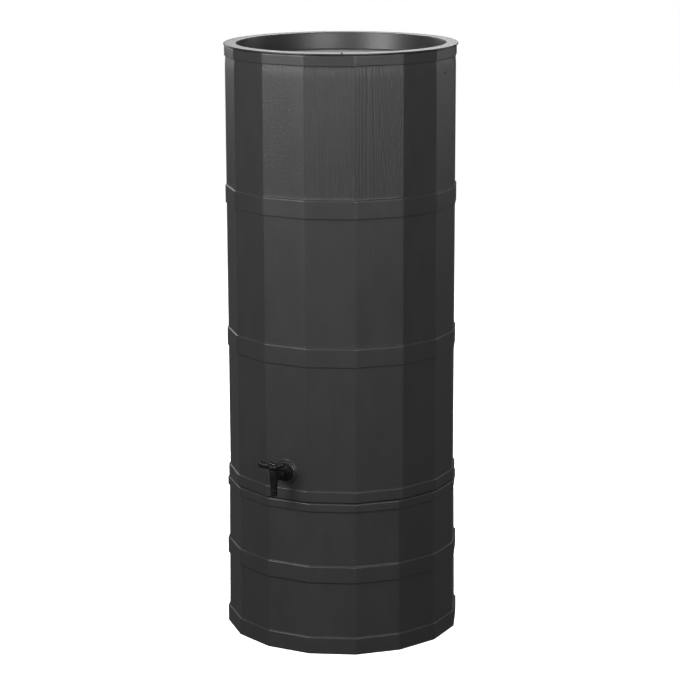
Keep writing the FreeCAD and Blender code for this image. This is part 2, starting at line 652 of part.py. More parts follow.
def build_screw():
    body = at_tap(new_body("handle_screw"))
    under_head = "(Sizes.hub_top - 1)"
    section = new_sketch(body, "screw_section", "XZ_Plane")
    outline(section, [
        ("0", f"{under_head} - Sizes.screw_length"),
        ("Sizes.screw_radius", f"{under_head} - Sizes.screw_length"),
        ("Sizes.screw_radius", under_head),
        ("Sizes.screw_head_radius", under_head),
        ("Sizes.screw_head_radius * 0.8", f"{under_head} + Sizes.screw_head_height * 0.7"),
        ("Sizes.screw_head_radius * 0.4", f"{under_head} + Sizes.screw_head_height"),
        ("0", f"{under_head} + Sizes.screw_head_height"),
    ])
    revolve(body, section)


# ---------------------------------------------------------------- build, check and write

build_stand()
build_barrel()
build_lid()
build_tap_body()
build_tap_seals()
build_plug()
build_rings()
build_gland()
build_handle()
build_screw()
doc.recompute()

for thing in doc.Objects:
    if "Invalid" in thing.State or "Error" in thing.State:
        raise RuntimeError(f"{thing.Name} failed: {thing.State}")
os.makedirs("parts", exist_ok=True)
for body in parts:
    shape = body.Shape
    if shape.isNull() or not shape.isValid() or len(shape.Solids) != 1:
        raise RuntimeError(f"{body.Label} is not one valid solid")
    shape.exportStep(f"parts/{body.Label}.step")
    box = shape.BoundBox
    print(f"{body.Label}: {shape.Volume / 1000:.1f} cm3, z {box.ZMin:.1f} to {box.ZMax:.1f}")
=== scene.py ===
import json
import math
from bisect import bisect_left

import bmesh
import bpy
import numpy as np
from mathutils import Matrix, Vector


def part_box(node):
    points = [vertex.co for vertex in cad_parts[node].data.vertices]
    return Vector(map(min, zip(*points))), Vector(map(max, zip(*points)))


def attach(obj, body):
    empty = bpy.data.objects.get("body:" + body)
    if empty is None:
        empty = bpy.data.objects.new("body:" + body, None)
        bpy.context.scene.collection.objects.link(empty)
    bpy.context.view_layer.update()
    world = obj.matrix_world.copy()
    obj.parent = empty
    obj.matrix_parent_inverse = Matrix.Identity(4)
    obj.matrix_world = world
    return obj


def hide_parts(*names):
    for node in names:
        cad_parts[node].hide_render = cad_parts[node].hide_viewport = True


# Rain barrel on its stand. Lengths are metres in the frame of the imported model: the origin is the
# centre of the stand's foot, +Z is up and the tap faces -Y. A bearing is an angle round +Z, in
# degrees, counted from -Y towards +X.

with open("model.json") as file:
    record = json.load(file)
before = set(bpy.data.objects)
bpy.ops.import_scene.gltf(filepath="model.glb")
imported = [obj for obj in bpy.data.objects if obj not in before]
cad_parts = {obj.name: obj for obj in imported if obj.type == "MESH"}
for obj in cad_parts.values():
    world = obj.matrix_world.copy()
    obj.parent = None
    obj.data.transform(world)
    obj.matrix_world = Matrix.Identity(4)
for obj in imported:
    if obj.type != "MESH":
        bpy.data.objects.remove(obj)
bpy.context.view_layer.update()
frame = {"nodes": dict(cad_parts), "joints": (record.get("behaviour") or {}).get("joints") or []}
MM = 0.001

# ---------------------------------------------------------------- sizes

BARREL_LOW, BARREL_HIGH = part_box("barrel_shell")
_, STAND_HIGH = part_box("stand")
_, LID_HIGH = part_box("lid")
TAP_LOW, TAP_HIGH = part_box("tap_body")
JOINTS = {joint["name"]: joint for joint in frame["joints"]}
TAP_AXIS = Vector(JOINTS["tap_turn"]["pos_m"])

HOOP_RADIUS = 222.4 * MM
STAVE_CORNER = HOOP_RADIUS - 1.9 * MM
WALL = 4.0 * MM
FOOT = BARREL_LOW.z
RIM = BARREL_HIGH.z
BAND_CREST = STAVE_CORNER + 1.5 * MM
UPPER_CREST = HOOP_RADIUS + 0.6 * MM
FOOT_CREST = HOOP_RADIUS + 1.2 * MM
HOOP_SOFT = 4.8 * MM
BAND_SOFT = 4.0 * MM
CORNER_WEAR = 0.10 * MM
BAND_LOW = RIM - 20.7 * MM
LIP = 4.0 * MM
RIM_ROUND = 3.0 * MM
MOUTH = 204.0 * MM
UPPER_HOOP = (841.0 * MM, 876.8 * MM)
MIDDLE_HOOP = (561.0 * MM, 598.0 * MM)
FOOT_HOOP_TOP = 322.0 * MM
SLOT_HEIGHT = 1.1 * MM
RECESS_RADIUS = 198.0 * MM
RECESS_DEPTH = 10.0 * MM
CAP_BORDER = 8.0 * MM

STAND_TOP = 298.2 * MM
STAND_TOP_RADIUS = 222.7 * MM
STAND_FOOT_RADIUS = 225.6 * MM
STAND_WALL = 5.0 * MM
DECK_THICKNESS = 7.0 * MM
STAND_BAND_RISE = 3.0 * MM
STAND_CORNER_WEAR = 0.12 * MM
STAND_BANDS = [(0.0, 33.5 * MM), (142.0 * MM, 174.5 * MM), (282.0 * MM, STAND_TOP)]
SPIGOT_RADIUS = 190.0 * MM

FIRST_BEARING = -20.0
CORNER_MATCH = 0.02 * MM
LEAST_FACET = 5.0


def corner_bearings(node, radius):
    """Bearings of a CAD node's corners at one radius, once round from just left of the tap."""
    places = np.array([point.co for point in frame["nodes"][node].data.vertices])
    distance = np.hypot(places[:, 0], places[:, 1])
    corners = places[np.abs(distance - radius) < CORNER_MATCH]
    bearings = np.degrees(np.arctan2(corners[:, 0], -corners[:, 1]))
    turned = np.sort((bearings - FIRST_BEARING) % 360.0)
    found = FIRST_BEARING + turned[np.diff(turned, prepend=-360.0) > LEAST_FACET]
    return np.append(found, found[0] + 360.0)


STAVE_CORNERS = corner_bearings("barrel_shell", STAVE_CORNER)
STAVES = len(STAVE_CORNERS) - 1
STAND_CORNERS = corner_bearings("stand", STAND_FOOT_RADIUS + STAND_BAND_RISE)
STAND_SIDES = len(STAND_CORNERS) - 1


# ---------------------------------------------------------------- mesh helpers

def add_object(name, vertices, faces, body):
    """A mesh object from points and faces, which rides on a body."""
    mesh = bpy.data.meshes.new(name)
    mesh.from_pydata([tuple(v) for v in vertices], [], [tuple(f) for f in faces])
    return finish_mesh(name, mesh, body)


def finish_mesh(name, mesh, body, sharp=35.0):
    """An object with smooth faces, sharp only where two faces meet at more than an angle."""
    work = bmesh.new()
    work.from_mesh(mesh)
    bmesh.ops.recalc_face_normals(work, faces=work.faces)
    work.to_mesh(mesh)
    work.free()
    mesh.shade_smooth()
    mesh.set_sharp_from_angle(angle=math.radians(sharp))
    piece = bpy.data.objects.new(name, mesh)
    bpy.context.scene.collection.objects.link(piece)
    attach(piece, body)
    return piece


def strip(low, high):
    """Faces between two closed rows, given as {column: vertex}; one row's columns hold the other's."""
    shared = sorted(set(low) & set(high))
    every_low, every_high = sorted(low), sorted(high)
    faces = []
    for start, stop in zip(shared, shared[1:] + shared[:1]):
        faces.append([low[c] for c in between(every_low, start, stop)]
                     + [high[c] for c in reversed(between(every_high, start, stop))])
    return faces


def between(columns, start, stop):
    """The columns from start to stop, going on past the last one to the first."""
    if start < stop:
        return columns[bisect_left(columns, start):bisect_left(columns, stop) + 1]
    return columns[bisect_left(columns, start):] + columns[:bisect_left(columns, stop) + 1]


def skin(bearings, rows):
    """Closed skin round the axis from (height, radii, columns) rows, capped at both ends."""
    angle = np.radians(bearings)
    points, faces, before = [], [], None
    for height, radii, columns in rows:
        start = len(points)
        for column in columns:
            across, along = math.sin(angle[column]), -math.cos(angle[column])
            points.append((radii[column] * across, radii[column] * along, height))
        row = {column: start + i for i, column in enumerate(columns)}
        if before is None:
            faces.append(list(row.values()))
        else:
            faces += strip(before, row)
        before = row
    faces.append(list(before.values())[::-1])
    return points, faces


def column_bearings(corners, counts, edge):
    """Bearings of a faceted skin's columns: each corner, then the facet's own from edge to edge."""
    places = []
    for low, high, count in zip(corners[:-1], corners[1:], counts):
        places.append(low)
        places.extend(np.linspace(low + edge, high - edge, count - 1))
    return np.array(places)


def thinned(counts, step, near=1):
    """Column numbers that keep each facet's corner and edges, and one in so many of the rest."""
    kept, start = [], 0
    for count in counts:
        inner = list(range(start + 1, start + count))
        kept += [start] + sorted(set(inner[::step]) | set(inner[:near]) | set(inner[-near:]))
        start += count
    return kept


def facet(bearings, corners, corner_radius):
    """Radii of a polygon with its corners at one radius."""
    side = np.clip(np.searchsorted(corners, bearings, side="right") - 1, 0, len(corners) - 2)
    half = np.radians(corners[side + 1] - corners[side]) / 2
    middle = np.radians(corners[side + 1] + corners[side]) / 2
    return corner_radius * np.cos(half) / np.cos(np.radians(bearings) - middle)


def softened(radii, bearings, corners, reach):
    """Radii of a polygon with its corners rounded off from a distance on either side."""
    nearest = np.abs(bearings[:, None] - corners[None, :]).min(axis=1)
    share = np.clip(1 - np.radians(nearest) * radii / reach, 0, 1)
    return radii - reach * math.tan(math.pi / len(corners)) / 2 * share ** 2


# ---------------------------------------------------------------- wood grain relief

GRAINS = [
    "speckle", "ridges", "flame", "smooth", "fine", "flame", "ridges", "speckle",
    "fine", "ridges", "flame", "fine", "speckle", "ridges", "fine", "fine",
]
COLUMNS = {"ridges": 84, "flame": 84, "speckle": 60, "fine": 60, "smooth": 30}
RELIEF = {"ridges": 1.4, "flame": 0.7, "speckle": 1.0, "fine": 0.3, "smooth": 0.0}
FLECKS = {"ridges": 0.7, "flame": 0.6, "speckle": 1.0, "fine": 0.35, "smooth": 0.1}
MIDDLE_FLECKS, LOWER_FLECKS, BAND_FLECKS = 0.45, 0.2, 0.15
RIDGES, FLAMES, FINE_LINES = 16, 16, 14
RIDGE_DEPTH = 0.40 * MM
FLAME_CENTRES = (0.82, 0.3)
FLAME_SPREAD = 0.26
ARCH_HEIGHT = 0.026
LINES_BELOW_BAND, LINES_FADE = 50 * MM, 24 * MM
QUIET_EDGE = 0.02
FIRST_SEED = 10
UPPER_GRAIN, MIDDLE_GRAIN = 1.0, 0.30
MARKED_STAVE = 4
MARK_HEIGHT = 1096.0 * MM
MARK_SIDE = 4.0 * MM
MARK_RADIUS, MARK_DEPTH = 3.0 * MM, 1.9 * MM
MARK_REACH, MARK_CLEAR = 3.3 * MM, 3.9 * MM


def wavy(values, seed, scale):
    """A smooth wander between about -1 and 1, repeatable for a seed."""
    draw = np.random.default_rng(seed)
    total = np.zeros_like(values, dtype=float)
    for octave in (1.0, 2.3, 4.9):
        total += np.sin(2 * np.pi * (values / scale * octave + draw.random())) / octave
    return total / 1.65


def groove(phase):
    """A repeating groove, narrower than the land beside it."""
    return (0.5 - 0.5 * np.cos(2 * np.pi * phase)) ** 1.4


def ridge_relief(across, height, seed, count):
    """Upright ridges, a little deeper or shallower from one to the next."""
    wander = 0.004 * wavy(height, seed, 0.42)
    phase = count * (across + wander)
    strength = 0.84 + 0.16 * wavy(np.floor(phase) * 0.37 + height * 6.0, seed + 1, 1.0)
    return groove(phase) * np.clip(strength, 0.3, 1.0)


def flame_relief(across, height, seed, centre):
    """Lines that run straight at one side and close into arches round the flame's centre."""
    off = across - centre
    spread = np.exp(-(off / FLAME_SPREAD) ** 2)
    phase = FLAMES * np.sqrt(off ** 2 + 0.03 ** 2) + height / ARCH_HEIGHT * spread
    phase = phase + 0.10 * wavy(height, seed, 0.09) + FLAMES * 0.004 * wavy(height, seed + 2, 0.5)
    strength = 0.78 + 0.22 * wavy(across * 3.1 + height * 2.3, seed + 1, 1.0)
    return groove(phase) * np.clip(strength, 0.3, 1.0)


def speckle_relief(across, height, seed):
    """Short slanting strokes, which give way to upright lines just under the rim band."""
    slant = across * 26 + height * 55
    strokes = np.sin(2 * np.pi * (across * 17.3 - height * 31)) * np.sin(2 * np.pi * slant * 0.31)
    strokes = np.clip(0.35 + 0.4 * strokes * wavy(across + height * 4, seed, 0.21), 0, 1) * 0.5
    share = np.clip((height - (BAND_LOW - LINES_BELOW_BAND)) / LINES_FADE, 0, 1)
    return strokes * (1 - share) + 0.4 * ridge_relief(across, height, seed, FINE_LINES) * share


def grain_pattern(kind, across, height, stave):
    """One stave's grain, from 0 on the surface to about 1 at the bottom of a groove."""
    seed = FIRST_SEED + stave
    if kind == "ridges":
        return ridge_relief(across, height, seed, RIDGES)
    if kind == "fine":
        return ridge_relief(across, height, seed, FINE_LINES)
    if kind == "flame":
        return flame_relief(across, height, seed, FLAME_CENTRES[stave % 2])
    if kind == "speckle":
        return speckle_relief(across, height, seed)
    return np.zeros_like(across)


def stave_relief(bearings, height):
    """How far the embossed grain sinks below the stave, for each column at one height."""
    depth = np.zeros(len(bearings))
    for stave, kind in enumerate(GRAINS):
        low, high = STAVE_CORNERS[stave], STAVE_CORNERS[stave + 1]
        inside = (bearings > low) & (bearings < high)
        across = (bearings[inside] - low) / (high - low)
        level = np.full_like(across, height)
        edge = np.clip(np.minimum(across, 1 - across) / QUIET_EDGE, 0, 1)
        depth[inside] = grain_pattern(kind, across, level, stave) * RELIEF[kind] * edge
    return depth * RIDGE_DEPTH


def add_grain(piece):
    """A grain attribute on the barrel's points, which scales the fine grain of its material."""
    places = np.array([point.co for point in piece.data.vertices])
    bearings = np.degrees(np.arctan2(places[:, 0], -places[:, 1]))
    bearings = (bearings - STAVE_CORNERS[0]) % 360.0 + STAVE_CORNERS[0]
    stave = np.clip(np.searchsorted(STAVE_CORNERS, bearings, side="right") - 1, 0, STAVES - 1)
    grain = np.array([FLECKS[kind] for kind in GRAINS])[stave]
    upper, middle = places[:, 2] > UPPER_HOOP[1], places[:, 2] > MIDDLE_HOOP[1]
    grain = grain * np.where(upper, 1.0, np.where(middle, MIDDLE_FLECKS, LOWER_FLECKS))
    grain[places[:, 2] > BAND_LOW - 0.5 * MM] = BAND_FLECKS
    piece.data.attributes.new("grain", "FLOAT", "POINT").data.foreach_set("value", grain)


def mark_relief(bearings, height):
    """Depth of the drilling mark, a shallow cone in its stave."""
    middle = (STAVE_CORNERS[MARKED_STAVE] + STAVE_CORNERS[MARKED_STAVE + 1]) / 2
    across = np.radians(bearings - middle) * STAVE_CORNER + MARK_SIDE
    distance = np.hypot(across, height - MARK_HEIGHT)
    return MARK_DEPTH * np.clip(1.5 * (1 - distance / MARK_RADIUS), 0, 1)


# ---------------------------------------------------------------- barrel

EDGE_ANGLE = 0.22
UPPER_ROWS, MIDDLE_ROWS, LOWER_ROWS, MARK_ROWS = 46, 26, 14, 9
HOOP_GAP = 1.5 * MM
LEAN_HEIGHT = 26 * MM
LEAN = 1.1 * MM


def hoop_rows(low, high, crest, wall, columns):
    """Rows over one hoop, downwards: the bevel on its upper edge, its crest and its underside."""
    middle = (low + high) / 2
    steps = [
        (high + 0.8 * MM, wall), (high + 0.1 * MM, wall + 0.1 * MM),
        (high - 0.2 * MM, crest - 1.8 * MM), (high - 1.7 * MM, crest - 0.3 * MM),
        (high - 2.2 * MM, crest), (high - 3.4 * MM, crest), (middle, crest),
        (low + 2.0 * MM, crest), (low + 0.7 * MM, crest), (low + 0.2 * MM, crest - 0.3 * MM),
        (low, crest - 1.0 * MM), (low, wall), (low - 0.8 * MM, wall),
    ]
    return [(z, np.maximum(radii, wall), columns) for z, radii in steps]


def build_barrel():
    """The barrel as one skin: up the inside, over the rim, down the outside and under the base."""
    counts = [COLUMNS[kind] for kind in GRAINS]
    bearings = column_bearings(STAVE_CORNERS, counts, EDGE_ANGLE)
    fine, half, coarse = thinned(counts, 1), thinned(counts, 2), thinned(counts, 6, near=4)
    flat = facet(bearings, STAVE_CORNERS, STAVE_CORNER)
    flat[np.isin(bearings, STAVE_CORNERS)] -= CORNER_WEAR
    inner = facet(bearings, STAVE_CORNERS, STAVE_CORNER - WALL)

    def crest(corner, reach):
        return softened(facet(bearings, STAVE_CORNERS, corner), bearings, STAVE_CORNERS, reach)

    def round_at(radius):
        return np.full(len(bearings), radius)

    def staves(heights, strength, columns):
        """Rows of one run of staves, downwards. They lean in a little under the rim band."""
        rows = []
        for height in heights:
            rise = max(0.0, height - (BAND_LOW - LEAN_HEIGHT)) / LEAN_HEIGHT
            sink = stave_relief(bearings, height) * strength + mark_relief(bearings, height)
            rows.append((height, flat - LEAN * rise ** 2 - sink, columns))
        return rows

    band = crest(BAND_CREST, BAND_SOFT)
    floor = FOOT + RECESS_DEPTH + WALL
    rows = [
        (floor, inner - 8 * MM - CAP_BORDER), (floor, inner - 8 * MM),
        (floor + 1.5 * MM, inner - 2 * MM), (floor + 6 * MM, inner),
        (RIM - LIP - 6 * MM, inner), (RIM - LIP - 1.5 * MM, inner - 1.5 * MM),
        (RIM - LIP, inner - 5 * MM), (RIM - LIP, round_at(MOUTH + 0.8 * MM)),
        (RIM - LIP + 0.8 * MM, round_at(MOUTH)), (RIM - 0.8 * MM, round_at(MOUTH)),
        (RIM, round_at(MOUTH + 0.8 * MM)), (RIM, band - 3.6 * MM),
    ]
    for turned in range(15, 91, 15):
        slant = math.radians(turned)
        drop = RIM_ROUND * (1 - math.cos(slant))
        rows.append((RIM - drop, band - RIM_ROUND * (1 - math.sin(slant))))
    rows += [
        (RIM - RIM_ROUND - 1.2 * MM, band), (BAND_LOW + 10 * MM, band),
        (BAND_LOW + 2.0 * MM, band), (BAND_LOW + 0.7 * MM, band),
        (BAND_LOW + 0.2 * MM, band - 0.2 * MM), (BAND_LOW, band - 0.6 * MM),
        (BAND_LOW, flat - LEAN),
    ]
    rows = [(z, radii, coarse) for z, radii in rows]
    upper = np.linspace(BAND_LOW - 0.8 * MM, UPPER_HOOP[1] + HOOP_GAP, UPPER_ROWS)
    marked = MARK_HEIGHT + np.linspace(MARK_REACH, -MARK_REACH, MARK_ROWS)
    plain = [height for height in upper if abs(height - MARK_HEIGHT) > MARK_CLEAR]
    upper = sorted(plain + list(marked), reverse=True)
    middle = np.linspace(UPPER_HOOP[0] - HOOP_GAP, MIDDLE_HOOP[1] + HOOP_GAP, MIDDLE_ROWS)
    lower = np.linspace(MIDDLE_HOOP[0] - HOOP_GAP, FOOT_HOOP_TOP + HOOP_GAP, LOWER_ROWS)
    rows += staves(upper, UPPER_GRAIN, fine)
    rows += hoop_rows(*UPPER_HOOP, crest(UPPER_CREST, HOOP_SOFT), flat, coarse)
    rows += staves(middle, MIDDLE_GRAIN, half)
    rows += hoop_rows(*MIDDLE_HOOP, crest(UPPER_CREST, HOOP_SOFT), flat, coarse)
    rows += staves(lower, 0.0, coarse)
    foot = crest(FOOT_CREST, HOOP_SOFT)
    slot = FOOT + SLOT_HEIGHT
    # The foot hoop has no underside of its own: it ends over a narrow slot above the stand.
    rows += hoop_rows(slot, FOOT_HOOP_TOP, foot, flat, coarse)[:-3]
    under = [
        (slot, foot - 1.2 * MM), (slot - 0.1 * MM, foot - 4.5 * MM), (FOOT, foot - 4.8 * MM),
        (FOOT, round_at(RECESS_RADIUS + 1 * MM)), (FOOT + 1 * MM, round_at(RECESS_RADIUS)),
        (FOOT + RECESS_DEPTH - 2 * MM, round_at(RECESS_RADIUS)),
        (FOOT + RECESS_DEPTH, round_at(RECESS_RADIUS - 2 * MM)),
        (FOOT + RECESS_DEPTH, round_at(RECESS_RADIUS - 2 * MM - CAP_BORDER)),
    ]
    rows += [(z, radii, coarse) for z, radii in under]
    piece = add_object("barrel_moulding", *skin(bearings, rows), "barrel")
    add_grain(piece)
    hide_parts("barrel_shell")
    return piece


# ---------------------------------------------------------------- stand

STAND_COLUMNS = 24
STAND_EDGE_ANGLE = 0.25


def build_stand():
    """The stand as one skin: from its raised round down the outside, and up inside to the deck."""
    counts = [STAND_COLUMNS] * STAND_SIDES
    bearings = column_bearings(STAND_CORNERS, counts, STAND_EDGE_ANGLE)
    at_corner = np.isin(bearings, STAND_CORNERS)
    columns = list(range(len(bearings)))

    def wall(height, extra=0.0):
        share = height / STAND_TOP
        radius = STAND_FOOT_RADIUS + (STAND_TOP_RADIUS - STAND_FOOT_RADIUS) * share + extra
        radii = facet(bearings, STAND_CORNERS, radius)
        radii[at_corner] -= STAND_CORNER_WEAR
        return radii

    def round_at(radius):
        return np.full(len(bearings), radius)

    top = STAND_HIGH.z
    rows = [
        (top, round_at(SPIGOT_RADIUS - 3 * MM - CAP_BORDER)), (top, round_at(SPIGOT_RADIUS - 3 * MM)),
        (top - 0.6 * MM, round_at(SPIGOT_RADIUS - 1.2 * MM)), (top - 2.2 * MM, round_at(SPIGOT_RADIUS)),
        (STAND_TOP + 1.2 * MM, round_at(SPIGOT_RADIUS)), (STAND_TOP, round_at(SPIGOT_RADIUS + 1.2 * MM)),
    ]
    for low, high in reversed(STAND_BANDS):
        crest = wall(low, STAND_BAND_RISE)
        if high < STAND_TOP:
            rows += [(high + 2.2 * MM, wall(high)), (high + 0.9 * MM, wall(high))]
            rows += [(high, wall(high, 0.4 * MM))]
        rows += [
            (high, crest - 2.0 * MM), (high - 0.3 * MM, crest - 1.2 * MM),
            (high - 1.3 * MM, crest - 0.2 * MM), (high - 1.9 * MM, crest),
            (high - 3.1 * MM, crest), ((low + high) / 2, crest),
            (low + 2.1 * MM, crest), (low + 0.8 * MM, crest),
            (low + 0.2 * MM, crest - 0.25 * MM), (low, crest - 0.9 * MM),
        ]
        if low > 0:
            rows += [(low, wall(low, 0.2 * MM)), (low - 0.7 * MM, wall(low))]
            rows += [(low - 2.0 * MM, wall(low))]
            rows += [(height, wall(height)) for height in np.linspace(low - 20 * MM, low - 90 * MM, 4)]
    under = STAND_TOP - DECK_THICKNESS
    inside = -STAND_WALL
    rows += [
        (0.0, wall(0.0, inside + 0.8 * MM)), (0.8 * MM, wall(0.0, inside)),
        (under - 4 * MM, wall(under, inside)), (under - 1 * MM, wall(under, inside - 1 * MM)),
        (under, wall(under, inside - 4 * MM)), (under, wall(under, inside - 4 * MM - CAP_BORDER)),
    ]
    rows = [(z, radii, columns) for z, radii in rows]
    piece = add_object("stand_moulding", *skin(bearings, rows), "stand")
    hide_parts("stand")
    return piece


# ---------------------------------------------------------------- turned pieces

def arc_points(centre, radius, start, end, steps):
    """Points of an arc as (radius, height) pairs, angles in degrees from the outward direction."""
    angles = np.radians(np.linspace(start, end, steps))
    return [(centre[0] + radius * math.cos(a), centre[1] + radius * math.sin(a)) for a in angles]


def capped_faces(rows, columns):
    """Faces of a closed tube: quads from row to row, then triangles to a point at each end."""
    faces = []
    for row in range(rows - 1):
        low, high = row * columns, (row + 1) * columns
        for i in range(columns):
            j = (i + 1) % columns
            faces.append((low + i, low + j, high + j, high + i))
    first = rows * columns
    last_row = first - columns
    for i in range(columns):
        j = (i + 1) % columns
        faces.append((j, i, first))
        faces.append((last_row + i, last_row + j, first + 1))
    return faces


def turn(profile, segments=96, axis="Z", place=(0, 0, 0)):
    """Vertices and faces of a profile of (radius, along) pairs turned about Z or Y."""
    angle = np.linspace(0, 2 * np.pi, segments, endpoint=False)
    rings = []
    for radius, along in profile:
        ring = [radius * np.cos(angle), radius * np.sin(angle), np.full_like(angle, along)]
        rings.append(np.stack(ring, 1))
    poles = np.array([[0, 0, profile[0][1]], [0, 0, profile[-1][1]]])
    vertices = np.concatenate(rings + [poles])
    if axis == "Y":
        vertices = vertices[:, [0, 2, 1]]
    return vertices + np.array(place), capped_faces(len(profile), segments)


def merged(pieces):
    """Several (vertices, faces) lists as one."""
    vertices, faces, offset = [], [], 0
    for points, polygons in pieces:
        vertices.append(points)
        faces += [tuple(index + offset for index in polygon) for polygon in polygons]
        offset += len(points)
    return np.concatenate(vertices), faces


SMOOTHING_STEPS = 14
FUSED_SHARP = 60.0


def fused(name, pieces, voxel, body):
    """Overlapping closed pieces fused into one skin with soft inner corners."""
    vertices, faces = merged(pieces)
    mesh = bpy.data.meshes.new(name)
    mesh.from_pydata([tuple(v) for v in vertices], [], faces)
    draft = bpy.data.objects.new(name + "_draft", mesh)
    bpy.context.scene.collection.objects.link(draft)
    remesh = draft.modifiers.new("remesh", "REMESH")
    remesh.mode = "VOXEL"
    remesh.voxel_size = voxel
    relax = draft.modifiers.new("relax", "SMOOTH")
    relax.factor = 0.5
    relax.iterations = SMOOTHING_STEPS
    graph = bpy.context.evaluated_depsgraph_get()
    result = bpy.data.meshes.new_from_object(draft.evaluated_get(graph))
    bpy.data.objects.remove(draft)
    return finish_mesh(name, result, body, sharp=FUSED_SHARP)


# ---------------------------------------------------------------- lid

LID_TOP = LID_HIGH.z - 1.8 * MM
LID_UNDER = LID_TOP - 3.0 * MM
LID_RADIUS = 223.0 * MM
TRAY_RADIUS = 198.7 * MM
TRAY_FLOOR_RADIUS = 196.5 * MM
TRAY_FLOOR = LID_TOP - 34.5 * MM
TRAY_STEP = 2.2 * MM
LID_EDGE = 1.3 * MM
PIP_BEARING = 30.0
PIP_RADIUS = 220.5 * MM


def build_lid():
    """The lid: a flat flange round a shallow tray, with a small pip on the flange."""
    step = TRAY_FLOOR + TRAY_STEP
    profile = [(180 * MM, step), (185.5 * MM, step - 0.1 * MM), (187.5 * MM, step - 0.8 * MM)]
    profile += [(189.0 * MM, TRAY_FLOOR + 0.4 * MM), (190.5 * MM, TRAY_FLOOR)]
    profile += arc_points((TRAY_FLOOR_RADIUS - 4 * MM, TRAY_FLOOR + 4 * MM), 4 * MM, -90, -2, 9)
    profile += arc_points((TRAY_RADIUS + 3.0 * MM, LID_TOP - 3 * MM), 3 * MM, 178, 90, 9)
    profile += [(TRAY_RADIUS + 10 * MM, LID_TOP), (LID_RADIUS - 6 * MM, LID_TOP - 0.1 * MM)]
    brim = (LID_RADIUS - LID_EDGE, LID_TOP - 0.2 * MM - LID_EDGE)
    profile += arc_points(brim, LID_EDGE, 90, 0, 6)
    profile += [(LID_RADIUS, LID_UNDER + 0.4 * MM), (LID_RADIUS - 0.5 * MM, LID_UNDER)]
    profile += [(TRAY_RADIUS + 4.5 * MM, LID_UNDER), (TRAY_RADIUS + 3 * MM, LID_UNDER - 1.5 * MM)]
    profile += [(TRAY_FLOOR_RADIUS + 3 * MM, TRAY_FLOOR + 2 * MM)]
    profile += [(TRAY_FLOOR_RADIUS + 1 * MM, TRAY_FLOOR - 2 * MM)]
    profile += [(TRAY_FLOOR_RADIUS - 3 * MM, TRAY_FLOOR - 3 * MM), (180 * MM, TRAY_FLOOR - 3 * MM)]
    tray = turn(profile, segments=360)

    pip_height = LID_HIGH.z - LID_TOP
    bearing = math.radians(PIP_BEARING)
    across, along = PIP_RADIUS * math.sin(bearing), -PIP_RADIUS * math.cos(bearing)
    place = (across, along, LID_TOP - 0.4 * MM)
    dome = [(2.0 * MM, 0.0)] + arc_points((1.0 * MM, pip_height - 0.6 * MM), 1.0 * MM, 0, 90, 6)
    pip = turn([(0.3 * MM, 0.0)] + dome + [(0.3 * MM, pip_height + 0.4 * MM)], segments=24, place=place)
    vertices, faces = merged([tray, pip])
    piece = add_object("lid_moulding", vertices, faces, "lid")
    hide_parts("lid")
    return piece


# ---------------------------------------------------------------- tap

TAP_REACH = 45.0 * MM
STAVE_FACE = TAP_AXIS.y + TAP_REACH
BOSS_RISE = 2.0 * MM
BOSS_RADIUS = 24.0 * MM
WASHER, FLANGE, COLLAR = 2.0 * MM, 3.5 * MM, 1.5 * MM
NECK, SHOULDER = 8.3 * MM, 10.3 * MM
COLLAR_RADIUS, FLANGE_RADIUS = 12.5 * MM, 16.2 * MM
THREAD_ROOT, THREAD_CREST = 9.4 * MM, 10.0 * MM
THREAD_PITCH, THREAD_RINGS = 1.8 * MM, 9
BORE, HOSE_TAIL, BEAD = 4.2 * MM, 6.25 * MM, 7.1 * MM
BEAD_HEIGHT, COLUMN_TOP = -24.0 * MM, 14.0 * MM
BODY_VOXEL, LEVER_VOXEL = 0.36 * MM, 0.32 * MM


def build_boss():
    """The moulded boss and its two rings, on the tap's stave."""
    top = BOSS_RISE
    profile = [(9 * MM, 3 * MM), (9 * MM, -top), (17.2 * MM, -top), (17.6 * MM, -top - 0.9 * MM)]
    profile += [(18.3 * MM, -top - 1.5 * MM), (19.2 * MM, -top - 1.5 * MM), (20.1 * MM, -top - 0.7 * MM)]
    profile += [(20.6 * MM, -top + 0.4 * MM), (21.4 * MM, -top + 0.5 * MM), (21.9 * MM, -top - 0.3 * MM)]
    profile += [(22.5 * MM, -top - 0.9 * MM), (23.1 * MM, -top - 0.9 * MM), (23.8 * MM, -top - 0.2 * MM)]
    profile += [(BOSS_RADIUS, -top + 0.6 * MM), (BOSS_RADIUS + 0.2 * MM, -0.5 * MM)]
    profile += [(BOSS_RADIUS + 1.0 * MM, 0.1 * MM), (BOSS_RADIUS, 3 * MM)]
    place = (0, STAVE_FACE, TAP_AXIS.z)
    vertices, faces = turn(profile, segments=128, axis="Y", place=place)
    piece = add_object("tap_boss", vertices, faces, "barrel")
    return piece


